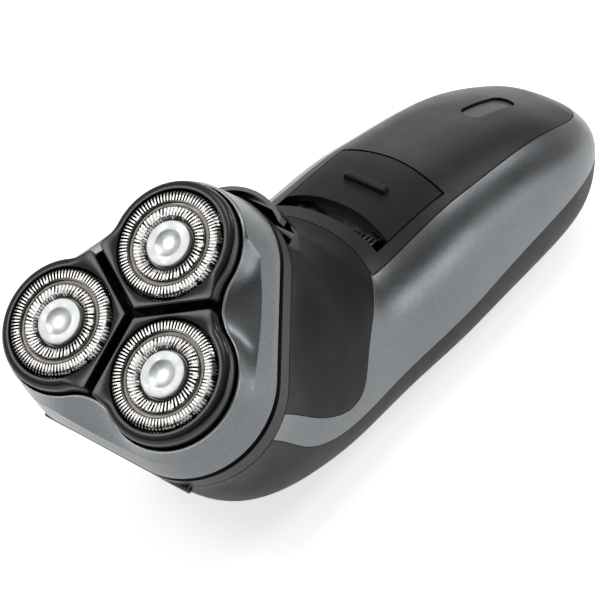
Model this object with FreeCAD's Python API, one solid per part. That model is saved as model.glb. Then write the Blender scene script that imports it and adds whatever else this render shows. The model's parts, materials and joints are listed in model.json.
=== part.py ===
"""Rotary electric shaver with three cutting heads, lying on the back of its handle.

Frame: +Z up, X across the shaver (it is symmetric about X = 0), the head towards -Y and the
tail of the handle towards +Y. The origin is under the middle of the whole shaver, on the
surface that it lies on. Lengths are in millimetres.

Two helper frames are used. The handle is drawn with the middle of the cutting face as its
origin, and the head is drawn lying flat, with the cutting face in its XY plane, +Y towards
the front-panel side and +Z out of the face. place_handle and place_head move them into the
shaver's frame.
"""
import FreeCAD, Part
import math
import os
from FreeCAD import Placement, Rotation, Vector

# ---------------------------------------------------------------- driving dimensions
FACE_PITCH = 54.0          # how far the cutting face's normal points above the horizontal
FACE_CENTRE = Vector(0.0, -69.60, 59.98)   # middle of the cutting face in the shaver's frame

FOIL_CIRCLE = 16.0         # radius of the circle that the three cutting rings stand on
FOIL_RADIUS = 11.6         # outer radius of a cutting ring
BACK_CORNER = 14.1         # back of the bezel: middle of the outline's corner arcs
BACK_RADIUS = 18.8         # and their radius
FRONT_CORNER = 15.77       # the same at the bezel's front, which is narrower
FRONT_RADIUS = 15.3
BEZEL_FRONT = 4.3          # front of the bezel, behind the cutting face
BEZEL_DEPTH = 16.0         # back of the bezel, behind the cutting face
COLLAR_DEPTH = 21.5        # back of the collar, behind the cutting face
NECK_DEPTH = 21.8          # front edge of the handle's neck, behind the cutting face
SEAM = 0.22                # visible gap between two fixed casing pieces
WALL = 2.0                 # wall of the handle's casing
RUN = 0.35                 # gap round a piece that moves on its own

AXIS_DROP = 40.5           # handle's centre line below the middle of the cutting face
TAIL = 155.8               # tail's end, from the middle of the cutting face
TOP_POWER = 2.4            # roundness of the handle's section above its centre line
BOTTOM_POWER = 2.8         # and of its flatter underside
SECTION_POINTS = 36

GEAR_MODULE = 0.5
GEAR_TEETH = 46
PINION_TEETH = 18

HINGE_T = -24.9            # head hinge's axis: along the head's height
HINGE_DEPTH = 21.65        # and behind the cutting face
HINGE_EYE = 1.0            # radius of the eyes round the hinge pins
HINGE_PIN_RADIUS = 0.5
PIVOT_CLEARANCE = 0.06     # radial clearance of every hinge pin and shaft

# ---------------------------------------------------------------- derived values
PITCH = math.radians(FACE_PITCH)
SPINE_RADIUS = (AXIS_DROP - NECK_DEPTH * math.sin(PITCH)) / (1 - math.cos(PITCH))
SPINE_END = NECK_DEPTH * math.cos(PITCH) + SPINE_RADIUS * math.sin(PITCH)
STATIONS_120 = (90.0, 210.0, 330.0)
X_AXIS = Vector(1, 0, 0)
Z_AXIS = Vector(0, 0, 1)


# ---------------------------------------------------------------- placing and exporting
def place_handle(shape):
    moved = shape.copy()
    moved.Placement = Placement(FACE_CENTRE, Rotation()).multiply(shape.Placement)
    return moved


def place_head(shape):
    moved = shape.copy()
    turn = Rotation(X_AXIS, 90.0 - FACE_PITCH)
    moved.Placement = Placement(FACE_CENTRE, turn).multiply(shape.Placement)
    return moved


def to_handle(shape):
    """Moves a shape drawn in the head's frame into the frame that the handle is drawn in."""
    moved = shape.copy()
    moved.Placement = Placement(Vector(), Rotation(X_AXIS, 90.0 - FACE_PITCH)).multiply(shape.Placement)
    return moved


def export(name, shape):
    shape.exportStep("parts/" + name + ".step")


# ---------------------------------------------------------------- small shape helpers
def cylinder(radius, low, high, x=0.0, y=0.0):
    return Part.makeCylinder(radius, high - low, Vector(x, y, low))


def tube(outer, inner, low, high, x=0.0, y=0.0):
    return cylinder(outer, low, high, x, y).cut(cylinder(inner, low - 1, high + 1, x, y))


def bar_x(radius, low, high, y, z):
    return Part.makeCylinder(radius, high - low, Vector(low, y, z), X_AXIS)


def box(low, high):
    size = Vector(*high) - Vector(*low)
    return Part.makeBox(size.x, size.y, size.z, Vector(*low))


def prism(wire, low, high):
    solid = Part.Face(wire).extrude(Vector(0, 0, high - low))
    solid.translate(Vector(0, 0, low))
    return solid


def join(shapes):
    whole = shapes[0]
    for shape in shapes[1:]:
        whole = whole.fuse(shape)
    return whole.removeSplitter()


def turned(profile):
    """A solid of revolution about Z, from (radius, height) corners."""
    points = [Vector(radius, 0, height) for radius, height in profile]
    return Part.Face(Part.makePolygon(points + points[:1])).revolve(Vector(), Z_AXIS, 360)


def polar(radius, degrees):
    angle = math.radians(degrees)
    return Vector(radius * math.cos(angle), radius * math.sin(angle), 0)


def keep_largest(shape):
    """Drops slivers that a cut has left behind."""
    return max(shape.Solids, key=lambda solid: solid.Volume)


# ---------------------------------------------------------------- head outlines
def rounded_triangle(inset=0.0, corner=BACK_CORNER, corner_radius=BACK_RADIUS):
    """The head's outline: three corner arcs joined by straight flats."""
    radius = corner_radius - inset
    edges = []
    for station in STATIONS_120:
        centre = polar(corner, station)
        ends = [centre + polar(radius, station - 60), centre + polar(radius, station + 60)]
        edges.append(Part.Arc(ends[0], centre + polar(radius, station), ends[1]).toShape())
        following = polar(corner, station + 120)
        edges.append(Part.LineSegment(ends[1], following + polar(radius, station + 60)).toShape())
    return Part.Wire(edges)


def bezel_outline(z, inset=0.0):
    """The bezel's tapered outline at one height."""
    share = (z + BEZEL_DEPTH) / (BEZEL_DEPTH - BEZEL_FRONT)
    corner = BACK_CORNER + share * (FRONT_CORNER - BACK_CORNER)
    radius = BACK_RADIUS + share * (FRONT_RADIUS - BACK_RADIUS)
    return rounded_triangle(inset, corner, radius)


def tapered(low_wire, low, high_wire, high):
    """A solid with straight sides between two outlines that have matching edges."""
    low_wire.translate(Vector(0, 0, low))
    high_wire.translate(Vector(0, 0, high))
    return Part.makeLoft([low_wire, high_wire], True, True)


LOBE_RADIUS = 14.5         # clover opening in the bezel: one lobe round each cutting ring
WAIST = 18.4               # the opening's narrow places, from the head's middle


def waist_arc():
    """Radius of the arc that joins two lobes, and its middle's distance from the head's middle."""
    reach = FOIL_CIRCLE * math.cos(math.radians(60))
    # a circle of radius k at distance WAIST + k touches a lobe of radius LOBE_RADIUS
    top = WAIST ** 2 + FOIL_CIRCLE ** 2 - 2 * WAIST * reach - LOBE_RADIUS ** 2
    radius = top / (2 * (LOBE_RADIUS - WAIST + reach))
    return radius, WAIST + radius


def clover(inset=0.0):
    """The clover outline, drawn inset by a gap."""
    waist_radius, waist_distance = waist_arc()
    lobe = LOBE_RADIUS - inset
    waist = waist_radius + inset
    edges = []
    for station in STATIONS_120:
        centre = polar(FOIL_CIRCLE, station)
        before = polar(waist_distance, station - 60)
        after = polar(waist_distance, station + 60)
        start = centre + (before - centre).normalize() * lobe
        end = centre + (after - centre).normalize() * lobe
        edges.append(Part.Arc(start, centre + polar(lobe, station), end).toShape())
        following = polar(FOIL_CIRCLE, station + 120)
        arrive = following + (after - following).normalize() * lobe
        edges.append(Part.Arc(end, after - polar(waist, station + 60), arrive).toShape())
    return Part.Wire(edges)


# ---------------------------------------------------------------- head: casing
HEAD_WALL = 1.7
LIP = 0.45                 # flat lip round the clover opening
SCOOP_DEPTH = 10.4         # the hollows between the lobes end in a crease this far back
PETAL_FLOOR = -6.0         # underside of the petals


def bezel_form(inset=0.0):
    """The bezel's outer form, or the space inside its wall: tapered, with three scooped flats."""
    low, high, crease = -BEZEL_DEPTH - inset, -BEZEL_FRONT - inset, -SCOOP_DEPTH - 0.6 * inset
    body = tapered(bezel_outline(low, inset), low, bezel_outline(high, inset), high)
    scooped = tapered(bezel_outline(crease, inset - 0.35), crease, clover(inset - LIP), high)
    below = prism(rounded_triangle(-3.0), low - 1, crease)
    return body.common(scooped.fuse(below))


def make_bezel():
    body = bezel_form().cut(bezel_form(HEAD_WALL))
    return keep_largest(body.cut(prism(clover(), -BEZEL_DEPTH, 1)))


COLLAR_EYE = (16.1, 19.7)  # the collar's hinge eyes, across the head
DECK_EYE = (12.4, 15.7)    # the deck's hinge eyes beside them
COLLAR_FRONT = 17.6        # front of the collar's visible band, behind the cutting face
SPIGOT_INSET = 1.3         # how far its spigot into the bezel stands back from the outline


def hinge_eye(span, radius, side):
    low, high = sorted((side * span[0], side * span[1]))
    return bar_x(radius, low, high, HINGE_T, -HINGE_DEPTH)


def make_collar():
    """The ring behind the bezel, with the two eyes that hang on the hinge pins."""
    low, high = -COLLAR_DEPTH, -COLLAR_FRONT
    hollow = prism(rounded_triangle(HEAD_WALL + 0.5), low - 1, high + 3)
    spigot = prism(rounded_triangle(SPIGOT_INSET), low, -BEZEL_DEPTH)
    band = prism(rounded_triangle(), low, high).fuse(spigot)
    whole = join([band.cut(hollow)] + [hinge_eye(COLLAR_EYE, HINGE_EYE, side) for side in (-1, 1)])
    for side in (-1, 1):
        whole = whole.cut(hinge_eye((DECK_EYE[0] - RUN, DECK_EYE[1] + RUN), HINGE_EYE + RUN, side))
    return whole.cut(bar_x(HINGE_PIN_RADIUS + PIVOT_CLEARANCE, -20, 20, HINGE_T, -HINGE_DEPTH))


def hinge_relief():
    """Room in the handle's front edge for the collar's eyes and for its lower edge as it swings."""
    room = box((-20.0, HINGE_T - 4.0, -HINGE_DEPTH - 1.5), (20.0, HINGE_T + RUN, -20.0))
    for side in (-1, 1):
        room = room.fuse(hinge_eye((DECK_EYE[0] - RUN, COLLAR_EYE[1] + RUN), HINGE_EYE + RUN, side))
        room = room.fuse(deck_arm(side, SEAM))
    return room


def deck_arm(side, grow=0.0):
    """The arm of the deck that carries one of its hinge eyes."""
    low, high = sorted((side * DECK_EYE[0], side * DECK_EYE[1]))
    return box((low - grow, HINGE_T - 0.35 - grow, DECK_FLOOR - grow), (high + grow, -21.6, -HINGE_DEPTH))


PLATE_TOP = -10.9          # retaining plate behind the petals
PLATE_THICKNESS = 1.4


def make_retaining_plate():
    low = PLATE_TOP - PLATE_THICKNESS
    plate = prism(bezel_outline(PLATE_TOP, HEAD_WALL + 0.3), low, PLATE_TOP)
    for station in STATIONS_120:
        spot = polar(FOIL_CIRCLE, station)
        plate = plate.cut(cylinder(6.4, low - 1, PLATE_TOP + 1, spot.x, spot.y))
        drain = polar(19.5, station + 60)
        plate = plate.cut(cylinder(2.4, low - 1, PLATE_TOP + 1, drain.x, drain.y))
    return plate.cut(cylinder(2.1 + PIVOT_CLEARANCE, low - 1, PLATE_TOP + 1))


def make_lock_knob():
    """The knob on the back of the retaining plate, turned to free the cutters."""
    high = PLATE_TOP - PLATE_THICKNESS - 0.3
    knob = cylinder(6.0, high - 3.4, high)
    for step in range(8):
        spot = polar(7.0, step * 45)
        knob = knob.cut(cylinder(1.9, high - 4, high + 1, spot.x, spot.y))
    knob = knob.fuse(box((-0.9, -5.6, high - 6.0), (0.9, 5.6, high - 3.4)))
    knob = knob.fuse(cylinder(2.1, high, PLATE_TOP + 0.3))
    return join([knob, cylinder(3.6, PLATE_TOP + 0.3, PLATE_TOP + 1.3)])


def make_petal_springs():
    """Three leaf springs riveted to the retaining plate, one behind each petal."""
    leaves = []
    for station in STATIONS_120:
        foot = box((24.6, -4.0, 0), (27.0, 4.0, 0.4))
        leg = box((24.6, -4.0, 0), (25.0, 4.0, 2.4))
        blade = box((24.6, -4.0, 2.0), (28.2, 4.0, 2.4))
        leaf = join([foot, leg, blade])
        leaf.rotate(Vector(), Z_AXIS, station)
        leaf.translate(Vector(0, 0, PLATE_TOP))
        leaves.append(leaf)
    return Part.makeCompound(leaves)


# ---------------------------------------------------------------- head: petals, foils, cutters
PETAL_TOP = -0.6
PETAL_GAP = 0.95           # half of the groove between two petals
FOIL_SEAT = FOIL_RADIUS + RUN
# the petals' rounded shoulder: (height, inset from the clover opening)
PETAL_SHOULDER = ((PETAL_FLOOR, 0.35), (-2.6, 0.4), (-1.7, 0.75), (-1.1, 1.4), (PETAL_TOP, 2.6))


def make_petal(station):
    """One third of the clover, which tilts inwards and carries one cutting ring."""
    wedge = Part.makePolygon([Vector(), polar(60, station - 60), polar(60, station + 60), Vector()])
    third = Part.Face(wedge).extrude(Vector(0, 0, PETAL_TOP - PETAL_FLOOR + 1))
    third.translate(Vector(0, 0, PETAL_FLOOR) + polar(PETAL_GAP / math.sin(math.radians(60)), station))
    spot = polar(FOIL_CIRCLE, station)
    seat = cylinder(FOIL_SEAT, PETAL_FLOOR - 1, 1, spot.x, spot.y)
    pieces = []
    for (low, low_inset), (high, high_inset) in zip(PETAL_SHOULDER, PETAL_SHOULDER[1:]):
        layer = tapered(clover(low_inset), low, clover(high_inset), high)
        pieces.append(layer.common(third).cut(seat))
    return keep_largest(join(pieces))


FOIL_PROFILE = (
    (11.6, -4.6), (11.6, -0.7), (11.1, -0.1), (10.6, 0.0), (9.2, 0.0), (8.9, -0.7), (8.2, -0.7),
    (7.9, -0.15), (5.7, -0.15), (5.35, -0.8), (4.6, -0.8), (4.6, -1.3), (5.5, -1.3), (7.4, -0.75),
    (7.8, -1.3), (9.2, -1.3), (9.5, -0.6), (10.6, -0.6), (11.1, -1.1), (11.1, -4.6))


def make_foil():
    """The thin cap of one cutting ring, with its two raised tracks."""
    return turned(FOIL_PROFILE)


def make_foil_cap():
    """The disc in the middle of a cutting ring, with a shallow dimple and a stem."""
    disc = turned(((0, -0.8), (4.95, -0.8), (5.05, -0.3), (4.8, 0.15), (0, 0.35)))
    disc = disc.cut(Part.makeSphere(9.0, Vector(0, 0, 9.0)))
    return disc.fuse(cylinder(4.55, -1.7, -0.8)).removeSplitter()


CUTTER_TOP = -1.7
BLADES = 15
HUB_MOUTH = -9.5
SOCKET_RADIUS = 2.2


def make_cutter():
    """The spinning cutter: a disc with two rings of blades and a hub with a drive socket."""
    disc = tube(10.4, 2.0, -4.4, -3.4)
    hub = cylinder(3.4, HUB_MOUTH, -2.2)
    pieces = [disc, hub]
    for step in range(BLADES):
        for inner, outer, top in ((9.6, 10.4, -1.0), (5.9, 7.3, -1.75)):
            blade = box((inner, -0.45, -3.6), (outer, 0.45, top))
            blade.rotate(Vector(), Z_AXIS, step * 360.0 / BLADES)
            pieces.append(blade)
    whole = join(pieces)
    return whole.cut(cylinder(SOCKET_RADIUS, HUB_MOUTH - 1, HUB_MOUTH + 4.2))


# ---------------------------------------------------------------- drive train
DECK_TOP = -22.3
DECK_FLOOR = -24.2
GEAR_TOP = -24.7
GEAR_FLOOR = -27.2
PLATE2_TOP = -28.4
PLATE2_FLOOR = -30.0
SPINDLE_RADIUS = 1.5
SPINDLE_TIP = -8.8
POST_CIRCLE = 19.0         # circle of the three screws that hold the drive together
SCREW_HEAD = 2.1
SCREW_HEIGHT = 1.0
SCREW_SHANK = 0.8
SCREW_GRIP = 3.0
MOTOR_RADIUS = 9.8
MOTOR_LENGTH = 25.0


def gear_outline(teeth, first_angle):
    """Straight-flanked teeth, thin enough to leave backlash. A tooth points at first_angle."""
    pitch_radius = teeth * GEAR_MODULE / 2
    root, tip = pitch_radius - 0.62, pitch_radius + 0.42
    points = []
    for tooth in range(teeth):
        middle = first_angle + tooth * 360.0 / teeth
        for radius, half in ((root, -0.44), (tip, -0.14), (tip, 0.14), (root, 0.44)):
            points.append(polar(radius, middle + math.degrees(half / radius)))
    return Part.makePolygon(points + points[:1])


def make_drive_gear(station):
    """A gear on the cutter's axis, with a gap towards the pinion in the middle."""
    first = station + 180.0 + 180.0 / GEAR_TEETH
    gear = prism(gear_outline(GEAR_TEETH, first), GEAR_FLOOR, GEAR_TOP)
    gear = gear.cut(cylinder(SPINDLE_RADIUS, GEAR_FLOOR - 1, GEAR_TOP + 1))
    for step in range(5):
        spot = polar(6.6, step * 72)
        gear = gear.cut(cylinder(2.2, GEAR_FLOOR - 1, GEAR_TOP + 1, spot.x, spot.y))
    return gear


def make_drive_spindle():
    """The shaft that carries the turning from its gear to a cutter's socket."""
    shaft = cylinder(SPINDLE_RADIUS, PLATE2_FLOOR + 0.3, -11.0)
    tip = Part.makeCone(SPINDLE_RADIUS, 1.1, 1.0, Vector(0, 0, -11.0))
    return join([shaft, tip, cylinder(1.1, -10.0, SPINDLE_TIP)])


def make_pinion():
    wheel = prism(gear_outline(PINION_TEETH, 90.0), GEAR_FLOOR - 0.3, GEAR_TOP)
    return wheel.cut(cylinder(1.0, GEAR_FLOOR - 2, GEAR_TOP + 1))


def make_motor_shaft():
    return cylinder(1.0, PLATE2_FLOOR - 0.2, GEAR_TOP)


def make_deck():
    """The plate that closes the neck. The spindles come up through its collars."""
    deck = prism(rounded_triangle(WALL + 0.6), DECK_FLOOR, DECK_TOP)
    pieces = [deck]
    for station in STATIONS_120:
        spot = polar(FOIL_CIRCLE, station)
        pieces.append(cylinder(3.2, DECK_TOP, DECK_TOP + 1.5, spot.x, spot.y))
    for side in (-1, 1):
        pieces += [hinge_eye(DECK_EYE, HINGE_EYE, side), deck_arm(side)]
    deck = join(pieces)
    for station in STATIONS_120:
        spot = polar(FOIL_CIRCLE, station)
        deck = deck.cut(cylinder(SPINDLE_RADIUS + PIVOT_CLEARANCE, DECK_FLOOR - 1, DECK_TOP + 3,
                                 spot.x, spot.y))
        screw = polar(POST_CIRCLE, station + 60)
        deck = deck.cut(cylinder(SCREW_HEAD + 0.2, DECK_TOP - SCREW_HEIGHT - 0.1, DECK_TOP + 1,
                                 screw.x, screw.y))
        deck = deck.cut(cylinder(SCREW_SHANK + 0.15, DECK_FLOOR - 1, DECK_TOP, screw.x, screw.y))
    return deck.cut(bar_x(HINGE_PIN_RADIUS, -20, 20, HINGE_T, -HINGE_DEPTH))


def make_gear_plate():
    """The plate behind the gears. It holds the spindles' lower ends and the motor."""
    plate = prism(rounded_triangle(WALL + 4.6), PLATE2_FLOOR, PLATE2_TOP)
    pieces = [plate]
    for station in STATIONS_120:
        post = polar(POST_CIRCLE, station + 60)
        pieces.append(cylinder(1.8, PLATE2_TOP, DECK_FLOOR, post.x, post.y))
    plate = join(pieces)
    for station in STATIONS_120:
        post = polar(POST_CIRCLE, station + 60)
        plate = plate.cut(cylinder(SCREW_SHANK, DECK_FLOOR - SCREW_GRIP, DECK_FLOOR + 1, post.x, post.y))
    for station in STATIONS_120:
        spot = polar(FOIL_CIRCLE, station)
        plate = plate.cut(cylinder(SPINDLE_RADIUS + PIVOT_CLEARANCE, PLATE2_FLOOR - 1, PLATE2_TOP + 1,
                                   spot.x, spot.y))
    return plate.cut(cylinder(2.6, PLATE2_FLOOR - 1, PLATE2_TOP + 1))


def make_deck_screws():
    """Three countersunk-flush screws that clamp the deck to the gear plate's posts."""
    screws = []
    for station in STATIONS_120:
        spot = polar(POST_CIRCLE, station + 60)
        head = cylinder(SCREW_HEAD, DECK_TOP - SCREW_HEIGHT, DECK_TOP, spot.x, spot.y)
        shank = cylinder(SCREW_SHANK, DECK_FLOOR - SCREW_GRIP, DECK_TOP - SCREW_HEIGHT, spot.x, spot.y)
        screw = join([head, shank])
        for turn in (0, 90):
            cross = box((-1.4, -0.25, DECK_TOP - 0.5), (1.4, 0.25, DECK_TOP + 1))
            cross.rotate(Vector(), Z_AXIS, turn + station)
            cross.translate(spot)
            screw = screw.cut(cross)
        screws.append(screw)
    return Part.makeCompound(screws)


def make_motor():
    low = PLATE2_FLOOR - MOTOR_LENGTH
    can = cylinder(MOTOR_RADIUS, low, PLATE2_FLOOR - 1.2)
    boss = cylinder(2.5, PLATE2_FLOOR - 1.2, PLATE2_FLOOR)
    back = cylinder(3.0, low - 1.2, low)
    whole = join([can, boss, back])
    return whole.cut(cylinder(1.0 + PIVOT_CLEARANCE, PLATE2_FLOOR - 0.3, PLATE2_FLOOR + 1))


def make_motor_bracket():
    """A sleeve under the gear plate that the motor hangs in."""
    ring = tube(MOTOR_RADIUS + 1.2, MOTOR_RADIUS, PLATE2_FLOOR - 8.0, PLATE2_FLOOR)
    return ring


# ---------------------------------------------------------------- handle casing
# (y, half width, height above the centre line, depth below it)
HANDLE_STATIONS = (
    (78.0, 26.1, 24.9, 19.4), (95.0, 25.3, 24.3, 19.4), (111.0, 24.3, 22.3, 19.4),
    (125.5, 23.2, 18.9, 19.4), (138.0, 21.0, 13.8, 19.0), (147.0, 16.9, 9.6, 17.4),
    (152.5, 11.0, 5.6, 13.4))
# (tilt in degrees, half width, height, depth, share of the handle's own section)
NECK_STATIONS = (
    (46.0, 27.9, 27.7, 26.8, 0.35), (34.0, 28.4, 28.0, 27.6, 0.7), (20.0, 28.0, 27.0, 22.6, 0.92),
    (8.0, 27.0, 25.5, 20.2, 1.0), (0.0, 26.4, 24.4, 19.4, 1.0))


def triangle_radius(angle):
    """Distance from the middle of the head's outline to it, at an angle from its top corner."""
    turn = math.degrees(angle) % 120.0
    corner = math.radians(min(turn, 120.0 - turn))
    flat = math.radians(60) - corner
    distance = BACK_CORNER / 2 + BACK_RADIUS
    if distance * math.tan(flat) <= BACK_CORNER * math.sin(math.radians(60)):
        return distance / math.cos(flat)
    across = BACK_CORNER * math.sin(corner)
    return BACK_CORNER * math.cos(corner) + math.sqrt(BACK_RADIUS ** 2 - across ** 2)


def oval_radius(angle, width, height, depth):
    up, side = math.cos(angle), math.sin(angle)
    reach = height if up >= 0 else depth
    power = TOP_POWER if up >= 0 else BOTTOM_POWER
    return (abs(up / reach) ** power + abs(side / width) ** power) ** (-1 / power)


def section(y, z, tilt, width, height, depth, share, inset):
    """One closed cross-section of the handle, as a wire."""
    up = Vector(0, math.sin(tilt), math.cos(tilt))
    points = []
    for step in range(SECTION_POINTS):
        angle = 2 * math.pi * step / SECTION_POINTS
        radius = (1 - share) * triangle_radius(angle) + share * oval_radius(angle, width, height, depth)
        radius -= inset
        points.append(Vector(radius * math.sin(angle), y, z) + up * (radius * math.cos(angle)))
    curve = Part.BSplineCurve()
    curve.interpolate(points, PeriodicFlag=True)
    return Part.Wire(curve.toShape())


def spine(tilt_degrees):
    tilt = math.radians(tilt_degrees)
    y = SPINE_END - SPINE_RADIUS * math.sin(tilt)
    z = -AXIS_DROP + SPINE_RADIUS * (1 - math.cos(tilt))
    return y, z, tilt


def handle_body(inset):
    """The handle's outer form, or the space inside its wall."""
    y, z, tilt = spine(FACE_PITCH)
    sections = []
    if inset:
        forward = Vector(0, -math.cos(PITCH), math.sin(PITCH))
        sections.append(section(y + forward.y, z + forward.z, tilt, 26, 26, 26, 0.0, inset))
    sections.append(section(y, z, tilt, 26, 26, 26, 0.0, inset))
    for degrees, width, height, depth, share in NECK_STATIONS:
        y, z, tilt = spine(degrees)
        sections.append(section(y, z, tilt, width, height, depth, share, inset))
    for y, width, height, depth in HANDLE_STATIONS:
        sections.append(section(y, -AXIS_DROP, 0.0, width, height, depth, 1.0, inset))
    if not inset:
        sections.append(section(TAIL - 0.9, -AXIS_DROP, 0.0, 6.0, 3.2, 7.8, 1.0, 0.0))
        sections.append(section(TAIL, -AXIS_DROP, 0.0, 2.0, 1.1, 2.6, 1.0, 0.0))
    return Part.makeLoft(sections, True, False)


# plan of the front panel: (y, half width)
PANEL_PLAN = (
    (57.6, 17.2), (68.0, 16.8), (83.5, 16.4), (100.0, 15.8), (117.0, 15.0), (129.0, 14.1),
    (140.0, 12.6), (146.5, 10.4), (150.0, 6.8), (151.2, 0.0))
CREASE_MIDDLE = 60.8       # where the front panel meets the neck, on the middle line


def front_panel_plan(grow=0.0):
    """Plan outline of the front panel: an arched front edge and sides that close at the tail."""
    half = [Vector(width + grow, y, 0) for y, width in PANEL_PLAN[:-1]]
    half[0].y -= grow
    tip = Vector(0, PANEL_PLAN[-1][0] + grow, 0)
    right = half + [tip]
    left = [Vector(-point.x, point.y, 0) for point in reversed(half)]
    sides = Part.BSplineCurve()
    sides.interpolate([point for point in right] + left)
    start, end = right[0], left[-1]
    front = Part.Arc(end, Vector(0, CREASE_MIDDLE - grow, 0), start).toShape()
    return Part.Wire([sides.toShape(), front])


def neck_side(grow=0.0):
    """Side outline of the neck cover: its lower edge dips behind the head and rises to the panel."""
    edge = (
        (4.0, -14.5), (18.4, -25.9), (25.0, -31.4), (31.0, -35.0), (35.6, -36.4), (39.0, -35.6),
        (41.4, -32.4), (43.4, -28.4), (46.6, -25.0), (51.0, -22.8), (55.5, -21.0), (59.0, -18.8),
        (62.0, -15.0))
    curve = Part.BSplineCurve()
    curve.interpolate([Vector(0, y, z - grow) for y, z in edge])
    first, last = Vector(0, edge[0][0], edge[0][1] - grow), Vector(0, edge[-1][0], edge[-1][1] - grow)
    corners = [last, Vector(0, edge[-1][0], 30), Vector(0, edge[0][0] - 30, 30),
               Vector(0, edge[0][0] - 30, first.z), first]
    edges = [curve.toShape()] + [Part.LineSegment(a, b).toShape() for a, b in zip(corners, corners[1:])]
    face = Part.Face(Part.Wire(Part.__sortEdges__(edges)))
    solid = face.extrude(Vector(80, 0, 0))
    solid.translate(Vector(-40, 0, 0))
    return solid


def lower_side(grow=0.0):
    """Side outline of the rear shell: everything under a line that rises towards the head."""
    edge = (
        (-2.0, -18.0), (14.7, -31.3), (20.4, -36.4), (28.6, -40.6), (38.0, -42.6), (52.5, -43.2),
        (69.0, -43.2), (100.0, -41.4), (121.0, -40.6), (140.0, -40.4), (162.0, -40.4))
    curve = Part.BSplineCurve()
    curve.interpolate([Vector(0, y, z + grow) for y, z in edge])
    first, last = Vector(0, edge[0][0], edge[0][1] + grow), Vector(0, edge[-1][0], edge[-1][1] + grow)
    corners = [last, Vector(0, last.y, -90), Vector(0, first.y - 30, -90),
               Vector(0, first.y - 30, first.z), first]
    edges = [curve.toShape()] + [Part.LineSegment(a, b).toShape() for a, b in zip(corners, corners[1:])]
    face = Part.Face(Part.Wire(Part.__sortEdges__(edges)))
    solid = face.extrude(Vector(80, 0, 0))
    solid.translate(Vector(-40, 0, 0))
    return solid


# ---------------------------------------------------------------- handle: openings and fittings
FLAP_HALF = 14.0           # trimmer flap's half width
FLAP_REAR = (88.8, 90.4)   # rear arch of its blank: y at the sides and on the middle line
FLAP_FRONT = (67.4, 69.6)  # its front arch
POCKET_FRONT = (63.2, 64.6)  # front edge of the trimmer's pocket
FLAP_HINGE = (86.6, -20.3)  # hinge axis: y and z
BARREL_MIDDLE = 5.25       # the flap's rear edge is rolled round the axis: radius in the middle
BARREL_SIDE = 2.37         # and at the flap's sides
FLAP_THICKNESS = 1.8
FLAP_PIN_RADIUS = 0.8
FLAP_EYE = 9.6             # middle of each hinge eye, across the flap
TRIMMER_TOP = -20.0        # top face of the trimmer's comb


def arch_plan(half_width, front, rear):
    """Plan outline between two arches, each (y at the sides, y on the middle line)."""
    corners = [Vector(-half_width, front[0], 0), Vector(half_width, front[0], 0),
               Vector(half_width, rear[0], 0), Vector(-half_width, rear[0], 0)]
    return Part.Wire([
        Part.Arc(corners[0], Vector(0, front[1], 0), corners[1]).toShape(),
        Part.LineSegment(corners[1], corners[2]).toShape(),
        Part.Arc(corners[2], Vector(0, rear[1], 0), corners[3]).toShape(),
        Part.LineSegment(corners[3], corners[0]).toShape()])


BUTTON_MIDDLE = 125.5      # power button, along the handle
BUTTON_LENGTH = 17.0
BUTTON_WIDTH = 5.0


def slot_plan(length, width, y):
    """A stadium along Y."""
    half, straight = width / 2, (length - width) / 2
    return Part.Wire([
        Part.LineSegment(Vector(half, y - straight, 0), Vector(half, y + straight, 0)).toShape(),
        Part.Arc(Vector(half, y + straight, 0), Vector(0, y + straight + half, 0),
                 Vector(-half, y + straight, 0)).toShape(),
        Part.LineSegment(Vector(-half, y + straight, 0), Vector(-half, y - straight, 0)).toShape(),
        Part.Arc(Vector(-half, y - straight, 0), Vector(0, y - straight - half, 0),
                 Vector(half, y - straight, 0)).toShape()])


def flap_barrel(grow=0.0):
    """The barrel round the flap's hinge axis that its rear edge is rolled to."""
    y, z = FLAP_HINGE
    side = FLAP_HALF + grow
    ends = [Vector(-side, y, z + BARREL_SIDE + grow), Vector(side, y, z + BARREL_SIDE + grow)]
    arc = Part.Arc(ends[0], Vector(0, y, z + BARREL_MIDDLE + grow), ends[1]).toShape()
    corners = [ends[1], Vector(side, y, z), Vector(-side, y, z), ends[0]]
    edges = [arc] + [Part.LineSegment(a, b).toShape() for a, b in zip(corners, corners[1:])]
    return Part.Face(Part.Wire(edges)).revolve(Vector(0, y, z), X_AXIS, 360)


RELEASE_HALF = 8.6         # head-release button's half width
RELEASE_ARCH = (21.5, 14.6)  # its arched top: the arc's middle along the head's height, and radius
RELEASE_SHEET = 0.9        # thickness of the arch in front
RELEASE_FLOOR = 28.5       # underside of the body that dips through the neck
RELEASE_STEP = -27.6       # front face of that body
RELEASE_HOLE_FLOOR = 24.0  # the neck's opening for it reaches down past the neck's wall
# the top of the button from the front to the neck: (head's height, depth as -Z)
RELEASE_SIDE = ((37.0, -19.4), (37.0, -21.0), (36.0, -23.0), (34.7, -25.4), (33.2, -28.0), (31.6, -31.0),
                (30.6, -33.0))
# its underside above the neck, in front of the body
RELEASE_UNDER = ((34.4, -22.2), (32.8, -25.4), (32.5, -27.6))


def wedge_x(outline, half_width):
    """A prism along X with a side outline of (head's height, -depth) corners."""
    corners = [Vector(-half_width, t, z) for t, z in outline]
    return Part.Face(Part.makePolygon(corners + corners[:1])).extrude(Vector(2 * half_width, 0, 0))


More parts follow.
